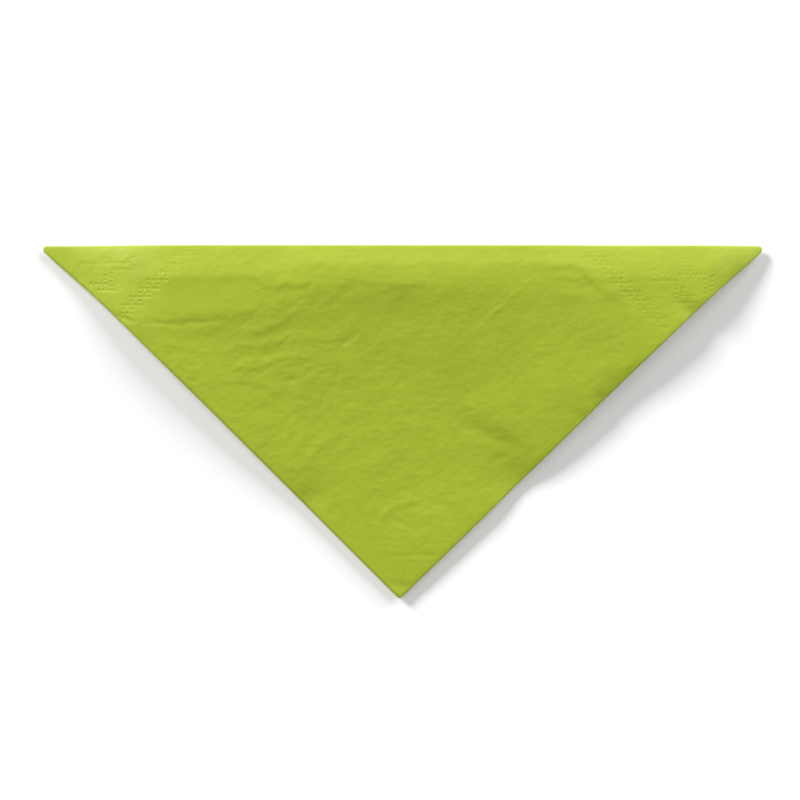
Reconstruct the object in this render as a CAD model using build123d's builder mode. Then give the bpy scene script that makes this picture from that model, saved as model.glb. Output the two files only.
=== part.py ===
"""Paper napkin: a square of tissue folded in quarters, then once along the diagonal into a triangle.

The quarter fold makes four leaves. The diagonal fold carries all four round a soft bend at the back,
so the napkin is eight leaves thick: four upper leaves that slope down to the apex, and four lower
leaves that lie flat. The apex is the middle of the sheet, and both legs of the triangle are folds of
the quarter. Below, the cut edges lie loose. It is all one sheet, so it is one solid.

Frame: +X along the diagonal fold, +Y from the apex towards that fold, +Z up. The origin is under the
middle of the napkin's outline, on the surface it lies on.
"""

import os
from math import atan, pi, sin, sqrt, tan

from build123d import *

# Driving dimensions, in millimetres
sheet_side = 330.0  # the opened square
sheet_thickness = 0.3  # two plies of embossed tissue
crest_height = 10.5  # top of the soft bend along the diagonal fold

lower_gap = 0.15  # air between the lower leaves
upper_gap = 0.30  # air between the upper leaves at the crest
apex_gap = 0.15  # air between the upper leaves at the apex
apex_clearance = 0.4  # air between the upper and the lower leaves at the apex
leg_gap = 0.30  # air between the two folds that nest along the left leg

loose_margin = 0.5  # the longest lower leaf stops this far inside the upper leaves
tip_radius = 0.5  # rounding of the two tips
rest_flat = 0.05  # how far the lowest leaf is pressed flat where the napkin lies
crest_share = 0.12  # share of the slope that is rounded at the crest, the rest is hollow

# The leaves that each leg's folds join, numbered from the outside of the bend to its inside
left_folds = ((0, 3), (1, 2))  # the first wraps round the second
right_folds = ((0, 1), (2, 3))  # one above the other
LEFT, RIGHT = -1, 1

# Derived sizes
leaf_count = len(left_folds) + len(right_folds)
inner_leaf = leaf_count - 1
half_fold = sheet_side / 2 / sqrt(2)  # from the middle of the diagonal fold to a tip
lower_stack = leaf_count * sheet_thickness + inner_leaf * lower_gap
upper_stack = leaf_count * sheet_thickness + inner_leaf * apex_gap
apex_height = lower_stack + apex_clearance + upper_stack
bend_radius = (crest_height + rest_flat) / 2
slope_paper = half_fold - pi / 2 * bend_radius  # what the bend leaves for the slope down to the apex
slope_length = slope_paper - (crest_height - apex_height) ** 2 / slope_paper * 2 / 3
depth = bend_radius + slope_length
leg_length = sqrt(half_fold**2 + depth**2)
apex_radius = 3 * sheet_thickness
apex_cut = apex_radius * (1 / sin(atan(half_fold / depth)) - 1)
tip_cut = tip_radius * (1 / tan(atan(depth / half_fold) / 2) - 1)
fold_y = (depth - apex_cut) / 2
apex_y = fold_y - depth
crest_y = fold_y - bend_radius
overshoot = 2 * bend_radius  # leaves are made this much too large, then trimmed to the outline
bend_creep = pi / 2 * (2 * sheet_thickness + lower_gap + upper_gap)
loose_step = bend_creep / sqrt(2)  # each leaf further out in the bend ends this much sooner


def leaf_heights(leaf, inside):
    """Heights of a leaf below, at the crest and at the apex, at a depth inside its outer face."""
    low = leaf * (sheet_thickness + lower_gap) - rest_flat + inside
    top = crest_height - leaf * (sheet_thickness + upper_gap) - inside
    end = apex_height - leaf * (sheet_thickness + apex_gap) - inside
    return low, top, end


def leg_plane(side):
    """Ground plane with its X along one leg of the triangle and its Y into the napkin."""
    middle = (side * half_fold / 2, (fold_y + apex_y) / 2, 0)
    return Plane(origin=middle, x_dir=(half_fold, side * depth, 0), z_dir=(0, 0, 1))


def draw_slope(top, end):
    """An upper leaf's line in the current sketch: two arcs from the crest, then level past the apex."""
    join_y = crest_y + crest_share * (apex_y - crest_y)
    join_z = top + crest_share * (end - top)
    TangentArc((crest_y, top), (join_y, join_z), tangent=(-1, 0))
    TangentArc((apex_y, end), (join_y, join_z), tangent=(1, 0))
    Line((apex_y, end), (apex_y - overshoot, end))


def draw_leaf_side(low, top, end):
    """One side of a leaf in the current sketch: along the bottom, round the bend and down the slope."""
    Line((apex_y - overshoot, low), (crest_y, low))
    CenterArc((crest_y, (low + top) / 2), (top - low) / 2, -90, 180)
    draw_slope(top, end)


def folded_leaf(leaf):
    """One leaf: its lower arm, its turn round the diagonal fold, and its upper arm."""
    low, top, end = leaf_heights(leaf, 0)
    inner_low, inner_top, inner_end = leaf_heights(leaf, sheet_thickness)
    far_y = apex_y - overshoot
    with BuildPart() as strip:
        with BuildSketch(Plane.YZ.offset(-half_fold - overshoot)):
            with BuildLine():
                draw_leaf_side(low, top, end)
                draw_leaf_side(inner_low, inner_top, inner_end)
                Line((far_y, end), (far_y, inner_end))
                Line((far_y, low), (far_y, inner_low))
            make_face()
        extrude(amount=2 * (half_fold + overshoot))
        loose_edge = loose_margin + (inner_leaf - leaf) * loose_step
        for side in (LEFT, RIGHT):
            with BuildSketch(leg_plane(side)):
                Rectangle(2 * leg_length, 2 * loose_edge)
            extrude(amount=inner_low + lower_gap / 2, both=True, mode=Mode.SUBTRACT)
        if leaf in left_folds[1]:
            with BuildSketch(leg_plane(LEFT)):
                Rectangle(2 * leg_length, 2 * (sheet_thickness + leg_gap))
            extrude(amount=2 * crest_height, both=True, mode=Mode.SUBTRACT)
    return strip.part


def leg_fold(side, leaves, inset):
    """The fold that joins two upper leaves along a leg, from the apex up to the tip."""
    low, top, end = leaf_heights(leaves[0], sheet_thickness / 2)
    under_low, under_top, under_end = leaf_heights(leaves[1], sheet_thickness / 2)
    middle = (low + top) / 2
    under_middle = (under_low + under_top) / 2
    radius = top - middle
    under_radius = under_top - under_middle
    far_y = apex_y - overshoot
    with BuildPart() as fold:
        with BuildSketch(Plane.YZ.offset(-half_fold - overshoot)):
            with BuildLine():
                CenterArc((crest_y, middle), radius, 0, 90)
                draw_slope(top, end)
                Line((far_y, end), (far_y, under_end))
                draw_slope(under_top, under_end)
                CenterArc((crest_y, under_middle), under_radius, 0, 90)
                Line((crest_y + under_radius, under_middle), (crest_y + radius, middle))
            make_face()
        extrude(amount=2 * (half_fold + overshoot))
        with BuildSketch(leg_plane(side)):
            with Locations((0, inset + sheet_thickness / 2)):
                Rectangle(2 * leg_length, sheet_thickness)
        extrude(amount=2 * crest_height, mode=Mode.INTERSECT)
    return fold.part


# The folded sheet, trimmed to the outline of the triangle and flat below
with BuildPart() as napkin:
    for leaf in range(leaf_count):
        add(folded_leaf(leaf))
    for layer, leaves in enumerate(left_folds):
        add(leg_fold(LEFT, leaves, layer * (sheet_thickness + leg_gap)))
    for leaves in right_folds:
        add(leg_fold(RIGHT, leaves, 0))
    tip_x = half_fold - tip_cut
    tip_y = fold_y - tip_cut * depth / half_fold
    back_y = fold_y + overshoot
    with BuildSketch():
        with BuildLine():
            Polyline((0, apex_y), (tip_x, tip_y), (tip_x, back_y), (-tip_x, back_y), (-tip_x, tip_y), close=True)
        make_face()
        corners = vertices().group_by(Axis.Y)
        fillet(corners[0], apex_radius)
        fillet(corners[1], tip_radius)
    extrude(amount=2 * crest_height, mode=Mode.INTERSECT)
napkin.part.label = "napkin"

os.makedirs("parts", exist_ok=True)
export_step(napkin.part, "parts/napkin.step")
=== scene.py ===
"""Paper napkin: a lime green tissue square, folded in quarters and then once along the diagonal.

The sheet is meshed flat as one thin slab, embossed with its pin-dot border, and then folded by formula
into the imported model's triangle, so the piece is one closed sheet from edge to edge. Creases, wrinkles
and dots are geometry. The fine crepe of the tissue is in the material.

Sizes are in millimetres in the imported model's frame: +X along the diagonal fold, +Y from the apex
towards that fold, +Z up. On the flat sheet, u is the distance from the fold that makes the left leg and
v the distance from the fold that makes the right leg, so the sheet's middle, the apex, is at (0, 0).
Travel is the distance along the paper from the apex to the diagonal fold and on below it, and across is
the distance along the paper from the line in the middle, less than 0 on the left.
"""

from math import asin, cos, pi, radians, sin, sqrt

import bmesh
import bpy
import numpy as np
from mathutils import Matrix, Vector
from mathutils.kdtree import KDTree


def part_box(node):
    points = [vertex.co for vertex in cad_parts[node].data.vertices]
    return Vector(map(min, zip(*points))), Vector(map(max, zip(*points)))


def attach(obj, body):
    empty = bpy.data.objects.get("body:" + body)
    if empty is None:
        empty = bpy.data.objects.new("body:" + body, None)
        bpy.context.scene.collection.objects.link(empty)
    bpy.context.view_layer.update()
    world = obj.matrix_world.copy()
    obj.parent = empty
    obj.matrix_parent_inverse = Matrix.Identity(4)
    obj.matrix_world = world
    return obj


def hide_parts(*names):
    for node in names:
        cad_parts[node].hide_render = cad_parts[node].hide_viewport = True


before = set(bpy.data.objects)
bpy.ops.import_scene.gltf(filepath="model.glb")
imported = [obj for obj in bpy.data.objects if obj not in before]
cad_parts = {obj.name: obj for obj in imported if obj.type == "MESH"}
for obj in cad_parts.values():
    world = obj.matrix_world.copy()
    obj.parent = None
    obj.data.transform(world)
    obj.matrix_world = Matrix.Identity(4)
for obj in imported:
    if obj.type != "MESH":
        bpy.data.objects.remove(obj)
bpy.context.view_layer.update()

mm = 0.001
box_low, box_high = (np.array(corner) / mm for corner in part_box("napkin"))

# The sheet and its leaves
sheet_side = 330.0  # the opened square
sheet_thickness = 0.3
inner_leaf = 3  # leaves are numbered from 0, outside the bend, to 3, inside it
lower_pitch = 0.45  # from leaf to leaf in the lower stack
crest_pitch = 0.60  # from leaf to leaf at the crest
apex_pitch = 0.40  # from leaf to leaf at the apex
apex_height = 3.3  # top of the upper stack at the apex
loose_margin = 0.5  # the longest lower leaf stops this far inside the legs
loose_step = 1.17  # each leaf further out in the bend ends this much sooner
left_radius = 0.47  # middle radius of the fold that wraps the left leg
right_radius = 0.27  # middle radius of the two folds on the right leg
droop, droop_reach = 0.12, 1.3  # the leaves bend down within this reach of the right leg

# The roll along the diagonal fold, and the slope from its crest down to the apex
roll_reach = 10.3  # from the back of the fold to the crest
oval_excess = 1.03  # how much longer the roll's oval is than a circle of its mean radius
crest_share = 0.06  # share of the slope that is rounded at the crest, the rest is hollow
straight_from, straight_to = 15.0, 70.0  # away from the middle, the slope is straight instead of hollow
left_press, left_press_from, left_press_to = 7.3, 72.0, 108.0  # the roll is pressed down at the left tip
right_press, right_press_from, right_press_to = 5.0, 95.0, 117.0  # and at the right tip
right_drop, right_drop_from, right_drop_to = 2.1, 36.0, 80.0  # and it lies a little lower on the right
tip_squeeze = 0.25  # how much closer the leaves lie at the pressed tips
tip_tilt, tip_tilt_from, tip_tilt_to = 0.09, 64.0, 100.0  # towards the tips the face tilts up to the legs

# The outline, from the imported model
crest_height = box_high[2]
fold_y = box_high[1]
apex_past = 1.0  # the legs meet this far past the model's apex, before their corner is rounded
apex_y = box_low[1] - apex_past
half_fold = sheet_side / 2 / sqrt(2)  # from the middle of the diagonal fold to a tip
depth = fold_y - apex_y
crest_y = fold_y - roll_reach
leg_length = sqrt(half_fold**2 + depth**2)
bend_paper = pi / 4 * (roll_reach + crest_height / 2) * oval_excess  # a quarter of the roll's oval
slope_paper = half_fold - bend_paper
bend_end = 2 * half_fold - slope_paper  # the travel where the paper leaves the bend, below

# The corners and the legs of the outline
tip_cut, tip_room = 1.5, 0.9  # the tips are pressed round from this far before their ends, into this room
tip_start = half_fold - tip_cut
tip_stretch, tip_stretch_from = 1.2, 96.0  # on the way there the face is drawn out a little
tip_round = 0.8  # how far the back edge comes forward at the very tips
apex_cut, apex_room = 1.2, 1.3  # the apex is pressed round in the same way
apex_start = apex_y + apex_cut
apex_shift = -1.0  # how far along X the apex lies from the middle
leg_hollow = 0.014  # share by which the legs draw in at their middles

# The top of the roll: power that squares its back, fall to the back, share where that starts, and its bow
left_tip_roll = 80.0, 1.5, 0.0, 0.1
left_roll = 90.0, 1.7, 0.0, 0.1
middle_roll = 80.0, 2.1, 0.40, 0.0
right_roll = 75.0, 2.2, 0.0, 0.7
tip_to_left = -88.0, -66.0  # the distances across between which one form turns into the next
left_to_middle = -47.0, -29.0
middle_to_right = 40.0, 75.0
arch, arch_x, arch_width = 0.11, -54.0, 11.0  # on the left, the edge where the fall starts is arched
fall_soft = 0.08  # share of the reach over which that edge is rounded
fall_limit = 0.5  # the fall takes at most this share of half the roll's height

# The embossed border: dots along lines, in places on the folded face
dot_pitch = 1.42
dot_radius = 0.38
dot_reach = 2.2  # how many radii from its middle a dot still presses the paper
dot_margin = 0.4  # no dot lies closer than this to the back
left_depth = 0.26
right_depth = 0.17
left_fade = 0.5, 42.0, 51.0  # share of the depth that is lost towards the roll, from which y to which
right_fade = 0.45, 43.0, 33.0  # and towards the leg
ring_count = 9  # little squares of dots, corner to corner
left_chain, left_step = (-90.2, 34.6), (2.92, 2.64)  # first ring's corner at the leg, and the step
right_chain, right_step = (85.1, 30.1), (-2.92, 2.82)
left_key = (
    ((-103.2, 50.9), (-88.0, 50.9)),
    ((-86.5, 52.5), (-86.5, 48.8), (-93.7, 48.8), (-93.7, 42.1), (-98.0, 42.1)),
    ((-95.8, 48.3), (-95.8, 44.2), (-100.4, 44.2)),
)
right_key = (
    ((80.8, 48.4), (80.8, 44.9), (88.1, 44.9), (88.1, 37.9), (94.8, 37.9)),
    ((83.4, 47.2), (85.4, 47.2)),
    ((90.2, 52.0), (90.2, 48.1)),
    ((92.5, 52.0), (92.5, 48.1)),
    ((89.0, 46.9), (97.4, 46.9)),
    ((90.3, 42.5), (90.3, 40.1), (94.1, 40.1)),
    ((97.3, 45.2), (97.3, 41.0)),
    ((99.5, 47.8), (99.5, 41.7)),
)

# The swell of all the upper leaves: turn in degrees, length, width, height and seed
swell = 13, 34.0, 20.0, 0.25, 5
swell_left, swell_reach = 0.25, 22.0  # share that is left at the apex, and how far from it all is there

# Waves that all the upper leaves follow: middle, turn in degrees, length, width and height
waves = (
    # dips of the right leg
    ((36.0, -19.0), -45, 14.0, 8.0, -1.80),
    ((70.5, 9.5), -45, 5.0, 9.0, -1.15),
    ((93.6, 33.8), -45, 6.5, 3.2, -1.10),
    ((64.4, 6.8), -45, 2.6, 1.9, -0.34),
    ((58.0, 0.6), -45, 2.4, 1.7, -0.34),
    # the left leg: a dip low down, a nick where the long crease starts, a rise and a bent edge
    ((-30.0, -25.5), 45, 7.0, 4.0, -0.60),
    ((-90.6, 33.3), -16, 4.2, 0.9, -0.21),
    ((-56.0, -2.0), 45, 14.0, 26.0, 1.00),
    ((-86.6, 27.7), 45, 2.8, 20.0, -0.42),
    # the dent on the right, a rise under it, and a small dent at the apex
    ((24.6, -2.8), -18, 5.6, 3.0, -0.42),
    ((32.2, -6.4), -18, 5.6, 2.5, -0.40),
    ((28.0, -14.6), -12, 6.0, 3.6, 0.26),
    ((0.0, -53.2), -10, 5.0, 1.6, -0.25),
    # humps that lift the smooth facet, the right side, and the top of the slope in the middle
    ((-58.0, 35.0), 5, 22.0, 6.0, 0.55),
    ((66.0, 33.0), -8, 22.0, 10.0, 0.50),
    ((70.0, 12.0), 0, 20.0, 18.0, 0.90),
    ((0.0, 44.5), 0, 26.0, 7.0, 0.45),
    # and a low one above the apex
    ((0.0, -40.0), 0, 16.0, 10.0, 0.35),
)

# Creases of the outer leaf: a line of points, height (a valley is negative) and width
creases = (
    # the crease in from the left leg, and the lip of the smooth facet above it
    (((-93.0, 33.8), (-89.0, 32.4), (-85.0, 31.4)), -0.20, 0.9),
    (((-89.0, 31.4), (-80.0, 30.3), (-70.0, 30.6)), 0.09, 0.7),
    (((-84.0, 31.2), (-73.0, 31.0), (-65.3, 31.6), (-55.0, 32.6)), -0.28, 1.1),
    (((-62.0, 32.0), (-52.0, 32.8), (-43.0, 35.4)), -0.06, 1.7),
    (((-64.0, 33.8), (-52.0, 35.0), (-43.0, 37.4)), 0.14, 1.5),
    # the right end of the facet
    (((-48.0, 34.8), (-44.0, 37.2), (-41.0, 41.5)), -0.12, 1.1),
    # wrinkles under the facet, one below the other
    (((-59.0, 28.2), (-49.2, 28.7), (-42.7, 30.2), (-37.9, 32.6), (-33.5, 36.6)), 0.22, 1.5),
    (
        ((-58.5, 22.2), (-50.8, 23.9), (-44.0, 24.8), (-37.9, 26.4), (-30.0, 26.6), (-19.0, 27.4)),
        0.30,
        1.7,
    ),
    (((-62.0, 17.4), (-50.0, 17.6), (-43.0, 19.0), (-36.0, 20.6), (-26.0, 20.2)), 0.22, 1.6),
    (((-66.0, 12.4), (-52.0, 13.0), (-44.5, 11.8), (-39.0, 9.8), (-28.0, 8.6)), 0.16, 1.5),
    (((-39.0, 12.0), (-33.0, 14.2), (-27.0, 16.4)), -0.20, 1.2),
    (((-22.5, 22.6), (-18.0, 25.4), (-13.0, 29.4)), -0.16, 1.3),
    (((-79.0, 25.8), (-70.0, 24.0), (-62.0, 21.4)), 0.13, 1.2),
    # the drop under the roll in the middle
    (((-29.0, 35.6), (-21.0, 38.5), (-17.5, 42.0), (-11.5, 44.4)), -0.24, 1.6),
    # a soft drop on the right
    (((44.0, 41.6), (55.0, 40.6), (65.0, 39.2)), 0.12, 1.8),
    # the straight memory of an earlier fold
    (((46.5, 49.6), (33.0, 38.2), (16.0, 21.6)), 0.12, 0.55),
    # small creases under the dent on the right
    (((29.0, -12.6), (33.0, -11.4), (36.0, -9.4)), -0.10, 0.9),
    (((34.0, -13.6), (35.6, -17.0), (36.0, -21.0)), -0.16, 1.0),
    # a short nick in from the left leg
    (((-50.0, -13.6), (-45.0, -9.0), (-40.0, -4.6)), -0.20, 1.4),
    # the fan of diagonal wrinkles low on the left
    (((-33.0, -14.6), (-27.0, -8.5), (-22.5, -3.6)), 0.22, 1.3),
    (((-34.0, 7.0), (-34.5, 0.0), (-38.0, -7.4)), 0.14, 1.4),
    (((-41.0, -13.2), (-34.0, -14.5), (-26.5, -12.0)), 0.18, 1.5),
    # the arc and the short marks near the apex
    (((-7.6, -34.4), (-5.0, -29.2), (-0.8, -26.6), (7.0, -24.8)), 0.20, 1.1),
    (((-4.0, -31.2), (1.0, -33.6), (5.2, -36.4)), -0.16, 1.1),
    (((-6.4, -37.6), (-4.5, -35.6), (-2.4, -33.6)), 0.10, 0.6),
    (((2.6, -43.0), (7.5, -43.6), (12.0, -43.2)), -0.14, 0.8),
    (((7.0, -26.4), (12.0, -27.2), (18.0, -27.4)), -0.10, 0.8),
)

# Drops: like creases, drawn from left to right, and far wider above than below
drops = (
    # where the roll drops to the smooth facet on the left, and beside it
    (((-76.0, 44.8), (-65.0, 45.6), (-56.0, 46.8), (-49.0, 46.4), (-42.0, 44.6)), 0.10, 1.5),
    (((-47.0, 44.6), (-40.0, 43.9), (-35.0, 43.8), (-29.0, 45.2)), 0.44, 1.4),
    # a short one in the middle
    (((-6.0, 44.6), (0.5, 43.9), (7.0, 44.8)), 0.34, 1.4),
    # the arched edge under the roll on the right, and its echo
    (((43.0, 48.0), (50.0, 50.2), (53.6, 50.8), (57.6, 48.2), (64.0, 42.2), (70.0, 36.6)), 0.42, 1.3),
    (((47.0, 45.4), (53.0, 46.6), (59.0, 43.4)), 0.22, 1.0),
)
drop_spread = 3.0  # how many times wider above

# How creases and drops run
crease_steps = 16  # points on the curve from one given point to the next
crease_reach = 3  # how many widths away a crease is as good as flat
crease_fade = 0.6  # power of the fade at the ends: the lower, the shorter the fade
crease_stray, stray_size, stray_seeds = 0.6, 5.0, (21, 22)  # how far they wander, and over which length
crease_mean, crease_change = 0.66, 0.38  # share of their height, and how much it changes along them
change_size, change_seed = 4.0, 23
crease_floor = 0.25  # a valley in the outer leaf stays within the thickness of the paper

# The crumple of the outer leaf: its swell and its sharp ridges, by length, width, height and seed
crumple_swell = 7.4, 4.6, 0.11, 7
crumple_ridges = (
    (4.2, 3.0, 0.13, 11),
    (2.1, 1.6, 0.06, 13),
)
ridge_mean = 0.28  # middle height of the ridges, so that they stand about as far above the paper as below
crumple_turn = 30  # degrees from the diagonal fold
crumple_stray, crumple_stray_size, crumple_stray_seed = 1.6, 12.0, 3  # how far they wander
crumple_left, crumple_reach = 0.4, 16.0  # share that is left at the apex, and how far from it all is there
calm_past = 2.0  # how far past the apex that share is reached

# Where the crumple is stronger than its usual share, and where it is calm: middle, sizes and share
crumple_usual = 0.55
lively_places = (
    ((-38.0, 18.0), (30.0, 24.0), 0.35),
    ((0.0, -28.0), (30.0, 18.0), 0.25),
)
calm_places = (
    ((-62.0, 40.0), (16.0, 5.0), 0.8),
    ((-54.0, 10.0), (3.5, 3.5), 0.7),
)

# Where the relief starts and where it is full
wave_from, wave_to = -0.1, 0.6  # waves: how far the section faces up
crease_from, crease_to = 0.8, 3.0  # creases and crumple: the distance from the folds of the legs
facing_from, facing_to = 0.3, 0.9  # and how far the paper faces up

# Noise
noise_cells = 256  # cells to a side before it repeats
noise_gain = 1.5  # brings it to about -1 to 1

# Mesh steps on the flat sheet
coarse_step = 3.6
fold_lines = 0.18, 0.36, 0.72, 1.2  # lines this far from a middle fold
edge_lines = 2.2, 1.2, 0.5, 0.0  # and this far from a cut edge
fine_cuts = 6  # cuts of a coarse step on the face that shows
fine_from = 1.0  # how far from the legs' folds that face starts
fine_past = 5.0  # how far past the diagonal fold it ends, along the sheet's side
dot_cuts = 1  # and again around the dots
dot_room = 0.95  # in the faces this close to a dot
probe = 0.02  # reach of the slopes taken for the paper's normals
least_room = 1e-6  # least width of the sheet that is divided by, at its corners
sharp_angle = 70  # edges are sharp from this many degrees on

# Colours, red, green and blue as on a screen
dark_lime = 154, 170, 31
light_lime = 164, 181, 38
sheen_lime = 214, 228, 120

# Floor and camera
floor_half = 30000.0  # from its middle to its edges, far out of sight
floor_gap = 0.05  # how far it lies under the napkin
view_width = 257.2  # what the camera sees at half the napkin's height
view_x, view_y = -0.8, 6.8  # the middle of the view
lens, sensor = 100.0, 36.0


def ease(share):
    """Goes from 0 to 1 with neither slope nor bend at the ends."""
    return share**3 * (share * (6 * share - 15) + 10)


def smooth_noise(x, y, seed):
    """Gradient noise over the plane, about -1 to 1, the same in every run."""
    angles = np.random.default_rng(seed).uniform(0, 2 * pi, (noise_cells, noise_cells))
    column = np.floor(x).astype(int)
    row = np.floor(y).astype(int)
    right = x - column
    up = y - row

    def corner(i, j):
        angle = angles[(row + j) % noise_cells, (column + i) % noise_cells]
        return np.cos(angle) * (right - i) + np.sin(angle) * (up - j)

    ease_x = ease(right)
    ease_y = ease(up)
    low = corner(0, 0) * (1 - ease_x) + corner(1, 0) * ease_x
    high = corner(0, 1) * (1 - ease_x) + corner(1, 1) * ease_x
    return noise_gain * (low * (1 - ease_y) + high * ease_y)


def soften(value, start, room):
    """Presses what lies beyond start into a shorter room, so that a sharp corner turns round."""
    over = np.maximum(value - start, 0)
    return np.minimum(value, start) + room * (1 - np.exp(-over / room))


def smooth_step(low, high, value):
    """Goes smoothly from 0 at low to 1 at high."""
    share = np.clip((value - low) / (high - low), 0, 1)
    return share * share * (3 - 2 * share)


def turned_by(x, y, degrees):
    """Distances along and across a direction that is turned from the diagonal fold."""
    turn = radians(degrees)
    return x * cos(turn) + y * sin(turn), y * cos(turn) - x * sin(turn)


def bell(x, y, middle, sizes, turn=0):
    """A smooth bump with a height of 1: its middle, its sizes along and across, and its turn in degrees."""
    along, across = turned_by(x - middle[0], y - middle[1], turn)
    return np.exp(-((along / sizes[0]) ** 2) - (across / sizes[1]) ** 2)


def smooth_path(points):
    """Points close together along a smooth curve through a few given ones."""
    points = np.array(points)
    run = np.vstack((2 * points[0] - points[1], points, 2 * points[-1] - points[-2]))
    share = np.linspace(0, 1, crease_steps, endpoint=False)[:, None]
    pieces = []
    for a, b, c, d in zip(run, run[1:], run[2:], run[3:]):
        # a cubic from b to c, whose slopes there are half the way from a to c and from b to d
        bend = share**2 * (a - 2.5 * b + 2 * c - 0.5 * d) + share**3 * (1.5 * (b - c) + 0.5 * (d - a))
        pieces.append(b + share / 2 * (c - a) + bend)
    return np.vstack(pieces + [points[-1:]])


def crease_height(x, y, points, height, width, spread=1.0):
    """A round ridge or valley along a smooth curve, fading at its ends. Spread widens its left side."""
    path = smooth_path(points)
    reach = crease_reach * width * spread
    low = path.min(axis=0) - reach
    high = path.max(axis=0) + reach
    near = (x > low[0]) & (x < high[0]) & (y > low[1]) & (y < high[1])
    result = np.zeros_like(x)
    if not near.any():
        return result
    places = np.stack((x[near], y[near]), axis=1)
    nearest = ((places[:, None] - path) ** 2).sum(axis=2).argmin(axis=1)
    ahead = np.gradient(path, axis=0)
    ahead /= np.linalg.norm(ahead, axis=1)[:, None]
    away = places - path[nearest]
    sideways = away[:, 0] * ahead[nearest, 1] - away[:, 1] * ahead[nearest, 0]
    fade = np.sin(pi * nearest / (len(path) - 1)) ** crease_fade
    width_here = np.where(sideways < 0, width * spread, width)
    result[near] = height * fade * np.exp(-((sideways / width_here) ** 2))
    return result


def share_near_apex(y, left, reach):
    """Share of a relief that is kept: what is left at the apex, and all of it from a reach away on."""
    return left + (1 - left) * smooth_step(apex_y - calm_past, apex_y + reach, y)


def wave_height(x, y):
    """How far the upper leaves stand above their smooth form, at a place on the folded face."""
    turn, length, width, height, seed = swell
    along, across = turned_by(x, y, turn)
    total = height * smooth_noise(along / length, across / width, seed)
    total *= share_near_apex(y, swell_left, swell_reach)
    for middle, turn, length, width, height in waves:
        total += height * bell(x, y, middle, (length, width), turn)
    return total


def crumple_strength(x, y):
    """Share of the crumple at a place on the folded face."""
    lively = crumple_usual
    for middle, sizes, share in lively_places:
        lively = lively + share * bell(x, y, middle, sizes)
    calm = 1
    for middle, sizes, share in calm_places:
        calm = calm - share * bell(x, y, middle, sizes)
    return lively * calm


def crinkle_height(x, y):
    """How far the outer face stands above its leaf's form: creases and the crumple of soft paper."""
    stray_x, stray_y = (
        place + crease_stray * smooth_noise(x / stray_size, y / stray_size, seed)
        for place, seed in zip((x, y), stray_seeds)
    )
    total = np.zeros_like(x)
    for crease in creases:
        total += crease_height(stray_x, stray_y, *crease)
    for drop in drops:
        total += crease_height(stray_x, stray_y, *drop, drop_spread)
    total *= crease_mean + crease_change * smooth_noise(x / change_size, y / change_size, change_seed)

    along, across = turned_by(x, y, crumple_turn)
    stray = smooth_noise(along / crumple_stray_size, across / crumple_stray_size, crumple_stray_seed)
    across = across + crumple_stray * stray
    strength = crumple_strength(x, y)
    length, width, height, seed = crumple_swell
    total += height * strength * smooth_noise(along / length, across / width, seed)
    for length, width, height, seed in crumple_ridges:
        ridge = ridge_mean - np.abs(smooth_noise(along / length, across / width, seed))
        total += height * strength * ridge
    total *= share_near_apex(y, crumple_left, crumple_reach)
    return np.maximum(total, -crease_floor)


def roll_top(across, share, half_height):
    """Share of the roll's upper half that is left, at a share of the reach from the crest to the back."""
    to_left = smooth_step(*tip_to_left, across)
    to_middle = smooth_step(*left_to_middle, across)
    to_right = smooth_step(*middle_to_right, across)
    power, fall, start, bow = (
        tip + to_left * (left - tip) + to_middle * (middle - left) + to_right * (right - middle)
        for tip, left, middle, right in zip(left_tip_roll, left_roll, middle_roll, right_roll)
    )
    start = start + arch * np.exp(-(((across - arch_x) / arch_width) ** 2))
    past = share - start
    ramp = (past + np.hypot(past, fall_soft)) / 2 - (np.hypot(start, fall_soft) - start) / 2
    ramp = ramp + bow * (share**2 - ramp)
    square = np.sqrt(np.maximum(1 - share**power, 0))
    return square * (1 - np.minimum(fall / half_height, fall_limit) * ramp)


def crest_top(level, across):
    """Height of a leaf's middle at the crest: lower on the right, and pressed down at the tips."""
    left = smooth_step(left_press_from, left_press_to, -across)
    right = smooth_step(right_press_from, right_press_to, across)
    pitch = crest_pitch - tip_squeeze * (left + right)
    top = crest_height - level * pitch - sheet_thickness / 2
    top = top - left_press * left - right_press * right
    return top - right_drop * smooth_step(right_drop_from, right_drop_to, across)


def slope_rise(climb, across):
    """Share of the way up from the apex to the crest, at a share of the way along the slope."""
    hollow = climb**2 / (1 - crest_share)
    rise = np.where(climb < 1 - crest_share, hollow, 1 - (1 - climb) ** 2 / crest_share)
    return rise + (climb - rise) * smooth_step(straight_from, straight_to, np.abs(across))


def section(level, travel, across):
    """The folded stack's section: y, z, half width and outward direction of the middle of a leaf."""
    low = level * lower_pitch + sheet_thickness / 2
    top = crest_top(level, across)
    end = apex_height - level * apex_pitch - sheet_thickness / 2
    reach = roll_reach - level * (lower_pitch + crest_pitch) / 2 - sheet_thickness / 2
    loose_edge = loose_margin + (inner_leaf - level) * loose_step
    loose_y = apex_y + loose_edge * leg_length / half_fold

    climb = np.clip(travel / slope_paper, 0, 1)
    turn = pi / 2 * np.clip((travel - slope_paper) / bend_paper, 0, 2)
    back = np.clip((travel - bend_end) / slope_paper, 0, 1)
    y = apex_y + climb * (crest_y - apex_y) + reach * np.sin(turn) - back * (crest_y - loose_y)

    half_height = (top - low) / 2
    height = np.where(turn < pi / 2, roll_top(across, np.sin(turn), half_height), np.cos(turn))
    z = end + (top - end) * slope_rise(climb, across) - half_height * (1 - height)
    tilt = tip_tilt * smooth_step(tip_tilt_from, tip_tilt_to, np.abs(across))
    z = z + tilt * (1 - climb) * slope_paper

    inset = loose_edge * smooth_step(pi / 2, pi, turn) * leg_length / depth
    half_width = half_fold * (y - apex_y) / depth - inset
    return y, z, half_width, np.sin(turn), np.cos(turn)


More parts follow.
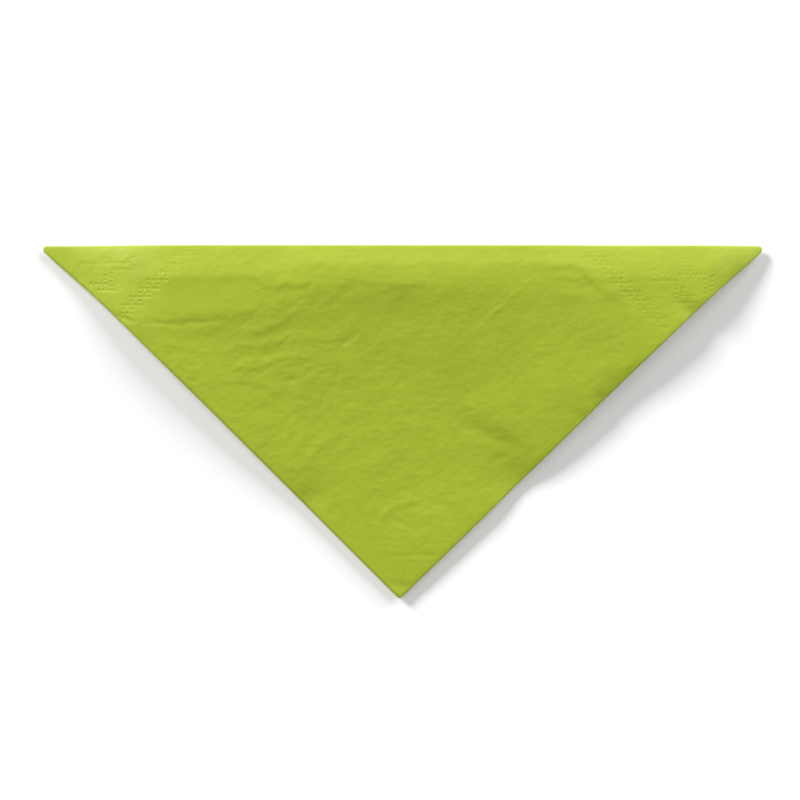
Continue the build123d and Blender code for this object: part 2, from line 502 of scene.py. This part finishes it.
def round_fold(distance, radius, nest):
    """Side and inward reach of points at a distance along the paper from a half-round fold."""
    angle = np.clip(distance / radius, -pi / 2, pi / 2)
    margin = nest + sheet_thickness / 2
    paper = radius * pi / 2
    stretch = (sheet_side / 2 - margin - radius) / (sheet_side / 2 - paper)
    beyond = np.maximum(np.abs(distance) - paper, 0) * stretch
    return np.sin(angle), margin + radius * (1 - np.cos(angle)) + beyond


def shaped_outline(x, y):
    """Moves places of the plain triangle into its real outline: blunt tips, hollow legs, a round apex."""
    out = np.abs(x) + tip_stretch * smooth_step(tip_stretch_from, tip_start, np.abs(x))
    x = np.sign(x) * soften(out, tip_start, tip_room)
    y = y - tip_round * (np.maximum(np.abs(x) - tip_start, 0) / tip_room) ** 2
    share = np.clip((y - apex_y) / depth, 0, 1)
    x = x * (1 - leg_hollow * np.sin(pi * share)) + apex_shift * (1 - share) ** 2
    return x, -soften(-y, -apex_start, apex_room)


def leaf_surface(u, v):
    """Where the middle of the paper lies in the folded napkin, for points of the flat sheet."""
    side_v, in_v = round_fold(v, right_radius, 0)
    wrap = (2 + side_v) / 3  # 1 for the outer fold on the left leg, a third for the one inside it
    side_u, in_u = round_fold(u, left_radius * wrap, left_radius * (1 - wrap))
    level = inner_leaf / 2 * (1 - side_u * wrap)
    travel = (in_u + in_v) / sqrt(2)
    across = (in_u - in_v) / sqrt(2)
    y, z, half_width, out_y, out_z = section(level, travel, across)
    room = np.maximum(np.minimum(travel, 2 * half_fold - travel), least_room)
    x, y = shaped_outline(across * half_width / room, y)
    lift = wave_height(x, y) - droop * np.exp(-((in_v / droop_reach) ** 2))
    lift = lift * smooth_step(wave_from, wave_to, out_z)
    return np.stack((x, y + out_y * lift, z + out_z * lift), axis=1)


def folded(flat):
    """Folds points of the flat slab: u, v and the height through the paper."""
    u, v, through = flat.T
    inward_u = np.where(u > 0, -probe, probe)
    inward_v = np.where(v > 0, -probe, probe)
    middle = leaf_surface(u, v)
    step_u = (leaf_surface(u + inward_u, v) - middle) / inward_u[:, None]
    step_v = (leaf_surface(u, v + inward_v) - middle) / inward_v[:, None]
    normal = np.cross(step_u, step_v)
    normal /= np.linalg.norm(normal, axis=1)[:, None]
    shows = (through > 0) * smooth_step(crease_from, crease_to, np.minimum(u, v))
    shows = shows * smooth_step(facing_from, facing_to, normal[:, 2])
    relief = crinkle_height(middle[:, 0], middle[:, 1]) * shows
    return middle + normal * (through + relief)[:, None]


def on_sheet(x, y):
    """The place on the flat sheet that comes to lie at a place on the folded face."""
    if y < crest_y:
        travel = (y - apex_y) / (crest_y - apex_y) * slope_paper
    else:
        travel = slope_paper + asin(min((y - crest_y) / roll_reach, 1)) / (pi / 2) * bend_paper
    half_width = half_fold * (y - apex_y) / depth
    across = x * travel / half_width
    return (travel + across) / sqrt(2), (travel - across) / sqrt(2)


def ring_chain(corner, step):
    """Squares of eight dots, three to a side, each square touching the next at a corner."""
    places = (0, 1, 2)
    for ring in range(ring_count):
        for column in places:
            for row in places:
                middle = column == row == 1
                shared = ring > 0 and column == row == 0
                if middle or shared:
                    continue
                x = corner[0] + step[0] * (ring + column / 2)
                y = corner[1] + step[1] * (ring + row / 2)
                yield x, y


def dotted_line(points):
    """Evenly spaced dots along straight lines."""
    for start, end in zip(points, points[1:]):
        start, end = Vector(start), Vector(end)
        count = max(1, round((end - start).length / dot_pitch))
        for index in range(count + 1):
            yield tuple(start.lerp(end, index / count))


def border_dots():
    """All embossed dots: their places on the flat sheet and their depths."""
    dots = []
    for chain, step, key, dot_depth, fade in (
        (left_chain, left_step, left_key, left_depth, left_fade),
        (right_chain, right_step, right_key, right_depth, right_fade),
    ):
        lost, fade_from, fade_to = fade
        places = list(ring_chain(chain, step))
        for line in key:
            places += dotted_line(line)
        for x, y in places:
            if y < fold_y - dot_margin:
                here = dot_depth * (1 - lost * smooth_step(fade_from, fade_to, y))
                dots.append((*on_sheet(x, y), here))
    return dots


def grid_lines():
    """Where the flat sheet is divided, on both sides of the middle folds: close at folds and edges."""
    ends = [sheet_side / 2 - line for line in edge_lines]
    count = round((ends[0] - fold_lines[-1]) / coarse_step)
    even = np.linspace(fold_lines[-1], ends[0], count + 1)[1:-1]
    positive = [*fold_lines, *even, *ends]
    return [-line for line in reversed(positive)] + [0.0] + positive


def plain_slab():
    """The flat sheet as a closed slab: two grids of faces and a rim between them."""
    lines = grid_lines()
    last = len(lines) - 1
    slab = bmesh.new()
    outer, inner = (
        [[slab.verts.new((u, v, height)) for v in lines] for u in lines]
        for height in (sheet_thickness / 2, -sheet_thickness / 2)
    )
    for i in range(last):
        for j in range(last):
            slab.faces.new((outer[i][j], outer[i + 1][j], outer[i + 1][j + 1], outer[i][j + 1]))
            slab.faces.new((inner[i][j], inner[i][j + 1], inner[i + 1][j + 1], inner[i + 1][j]))
    rim = [(i, 0) for i in range(last)] + [(last, j) for j in range(last)]
    rim += [(last - i, last) for i in range(last)] + [(0, last - j) for j in range(last)]
    for (i, j), (k, m) in zip(rim, rim[1:] + rim[:1]):
        slab.faces.new((outer[k][m], outer[i][j], inner[i][j], inner[k][m]))
    return slab


def refine(slab, faces, cuts):
    """Divides some faces of the slab, and fits their neighbours to them."""
    edges = dict.fromkeys(edge for face in faces for edge in face.edges)
    bmesh.ops.subdivide_edges(slab, edges=list(edges), cuts=cuts, use_grid_fill=True)


def search_tree(places):
    """A tree that finds the numbers of the places near a point."""
    tree = KDTree(len(places))
    for index, place in enumerate(places):
        tree.insert(place, index)
    tree.balance()
    return tree


def fine_slab(dots):
    """The flat slab, fine on the face that shows and finest around the dots."""
    slab = plain_slab()
    fine_to = sheet_side / 2 - edge_lines[0]
    shows = []
    for face in slab.faces:
        u, v, height = face.calc_center_median()
        inside = fine_from < min(u, v) and max(u, v) < fine_to
        if height > 0 and inside and u + v < sheet_side / 2 + fine_past:
            shows.append(face)
    refine(slab, shows, fine_cuts)

    slab.faces.ensure_lookup_table()
    centres = search_tree([face.calc_center_median() for face in slab.faces])
    chosen = set()
    for u, v, _ in dots:
        for _, index, _ in centres.find_range((u, v, sheet_thickness / 2), dot_room):
            chosen.add(index)
    refine(slab, [slab.faces[index] for index in sorted(chosen)], dot_cuts)
    return slab


def emboss(slab, dots):
    """Presses the dots into the slab's outer side."""
    slab.verts.ensure_lookup_table()
    corners = search_tree([vert.co for vert in slab.verts])
    press = {}
    for u, v, dot_depth in dots:
        for place, index, _ in corners.find_range((u, v, sheet_thickness / 2), dot_reach * dot_radius):
            if place.z > 0:
                square = (place.x - u) ** 2 + (place.y - v) ** 2
                pressed = dot_depth * np.exp(-square / dot_radius**2)
                press[index] = max(press.get(index, 0), pressed)
    for index, pressed in press.items():
        slab.verts[index].co.z -= pressed


def make_napkin():
    """The folded and embossed sheet, as one closed mesh."""
    dots = border_dots()
    slab = fine_slab(dots)
    emboss(slab, dots)
    bmesh.ops.triangulate(slab, faces=slab.faces[:])
    flat = np.array([vert.co for vert in slab.verts])
    for vert, place in zip(slab.verts, folded(flat) * mm):
        vert.co = place
    for face in slab.faces:
        face.smooth = True
    mesh = bpy.data.meshes.new("napkin_sheet")
    slab.to_mesh(mesh)
    slab.free()
    mesh.set_sharp_from_angle(angle=radians(sharp_angle))
    piece = bpy.data.objects.new("napkin_sheet", mesh)
    bpy.context.scene.collection.objects.link(piece)
    return piece


def srgb(red, green, blue):
    """A colour given as it looks on a screen, in the linear values that a shader takes."""
    values = (red / 255, green / 255, blue / 255)
    linear = [
        value / 12.92 if value <= 0.04045 else ((value + 0.055) / 1.055) ** 2.4
        for value in values
    ]
    return (*linear, 1.0)


def tissue_material():
    """Lime green creped tissue: matte, faintly mottled, with fine crinkles and finer fibres."""
    material = bpy.data.materials.new("napkin_tissue")
    material.use_nodes = True
    nodes = material.node_tree.nodes
    links = material.node_tree.links
    shader = nodes["Principled BSDF"]
    shader.inputs["Roughness"].default_value = 0.62
    shader.inputs["Specular IOR Level"].default_value = 0.45
    shader.inputs["Sheen Weight"].default_value = 0.03
    shader.inputs["Sheen Roughness"].default_value = 0.6
    shader.inputs["Sheen Tint"].default_value = srgb(*sheen_lime)

    coordinates = nodes.new("ShaderNodeTexCoord")

    def stretched_noise(long_size, short_size, turn, detail, roughness=0.55):
        mapping = nodes.new("ShaderNodeMapping")
        mapping.vector_type = "TEXTURE"
        mapping.inputs["Rotation"].default_value = (0, 0, radians(turn))
        mapping.inputs["Scale"].default_value = (long_size * mm, short_size * mm, short_size * mm)
        noise = nodes.new("ShaderNodeTexNoise")
        noise.inputs["Scale"].default_value = 1.0
        noise.inputs["Detail"].default_value = detail
        noise.inputs["Roughness"].default_value = roughness
        links.new(coordinates.outputs["Object"], mapping.inputs["Vector"])
        links.new(mapping.outputs["Vector"], noise.inputs["Vector"])
        return noise.outputs["Fac"]

    def bump(height, strength, distance):
        node = nodes.new("ShaderNodeBump")
        node.inputs["Strength"].default_value = strength
        node.inputs["Distance"].default_value = distance * mm
        links.new(height, node.inputs["Height"])
        return node

    mottle = stretched_noise(long_size=14, short_size=9, turn=12, detail=6.0, roughness=0.8)
    tones = nodes.new("ShaderNodeValToRGB")
    dark, light = tones.color_ramp.elements
    dark.position = 0.30
    dark.color = srgb(*dark_lime)
    light.position = 0.72
    light.color = srgb(*light_lime)
    links.new(mottle, tones.inputs["Fac"])
    links.new(tones.outputs["Color"], shader.inputs["Base Color"])

    crinkles = stretched_noise(long_size=1.9, short_size=1.6, turn=50, detail=4.0)
    fibres = stretched_noise(long_size=0.7, short_size=0.6, turn=50, detail=2.0)
    crepe = bump(crinkles, strength=0.7, distance=0.16)
    fuzz = bump(fibres, strength=0.4, distance=0.04)
    links.new(crepe.outputs["Normal"], fuzz.inputs["Normal"])
    links.new(fuzz.outputs["Normal"], shader.inputs["Normal"])
    return material


def make_floor():
    """A plain pale floor."""
    mesh = bpy.data.meshes.new("floor")
    signs = ((-1, -1), (1, -1), (1, 1), (-1, 1))
    corners = [(i * floor_half * mm, j * floor_half * mm, -floor_gap * mm) for i, j in signs]
    mesh.from_pydata(corners, [], [(0, 1, 2, 3)])
    floor = bpy.data.objects.new("floor", mesh)
    bpy.context.scene.collection.objects.link(floor)
    material = bpy.data.materials.new("floor_white")
    material.use_nodes = True
    shader = material.node_tree.nodes["Principled BSDF"]
    shader.inputs["Base Color"].default_value = (0.90, 0.90, 0.90, 1)
    shader.inputs["Emission Color"].default_value = (1, 1, 1, 1)
    shader.inputs["Emission Strength"].default_value = 0.07
    shader.inputs["Roughness"].default_value = 0.9
    shader.inputs["Specular IOR Level"].default_value = 0.0
    mesh.materials.append(material)


def add_light(name, azimuth, elevation, distance, size, power):
    """A square soft light that looks at the origin: azimuth from +Y to -X in degrees, metres and watts."""
    turn, climb = radians(azimuth), radians(elevation)
    away = Vector((-sin(turn) * cos(climb), cos(turn) * cos(climb), sin(climb)))
    light = bpy.data.lights.new(name, "AREA")
    light.size = size
    light.energy = power
    lamp = bpy.data.objects.new(name, light)
    lamp.location = away * distance
    lamp.rotation_euler = (-away).to_track_quat("-Z", "Y").to_euler()
    bpy.context.scene.collection.objects.link(lamp)


def make_world():
    """Faint white light from all around."""
    world = bpy.data.worlds.new("studio")
    world.use_nodes = True
    background = world.node_tree.nodes["Background"]
    background.inputs["Color"].default_value = (1, 1, 1, 1)
    background.inputs["Strength"].default_value = 0.20
    bpy.context.scene.world = world


def make_camera():
    """A camera straight above the napkin, framed as the photo is."""
    data = bpy.data.cameras.new("camera")
    data.sensor_width = sensor
    data.lens = lens
    camera = bpy.data.objects.new("camera", data)
    height = crest_height / 2 + view_width * lens / sensor
    camera.location = (view_x * mm, view_y * mm, height * mm)
    bpy.context.scene.collection.objects.link(camera)
    bpy.context.scene.camera = camera


napkin = make_napkin()
napkin.data.materials.append(tissue_material())
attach(napkin, "root")
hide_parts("napkin")

make_floor()
add_light("key", azimuth=48, elevation=30, distance=3.0, size=0.9, power=98.0)
add_light("soft", azimuth=-48, elevation=30, distance=3.2, size=2.4, power=89.0)
make_world()
bpy.context.scene.view_settings.view_transform = "Standard"
make_camera()
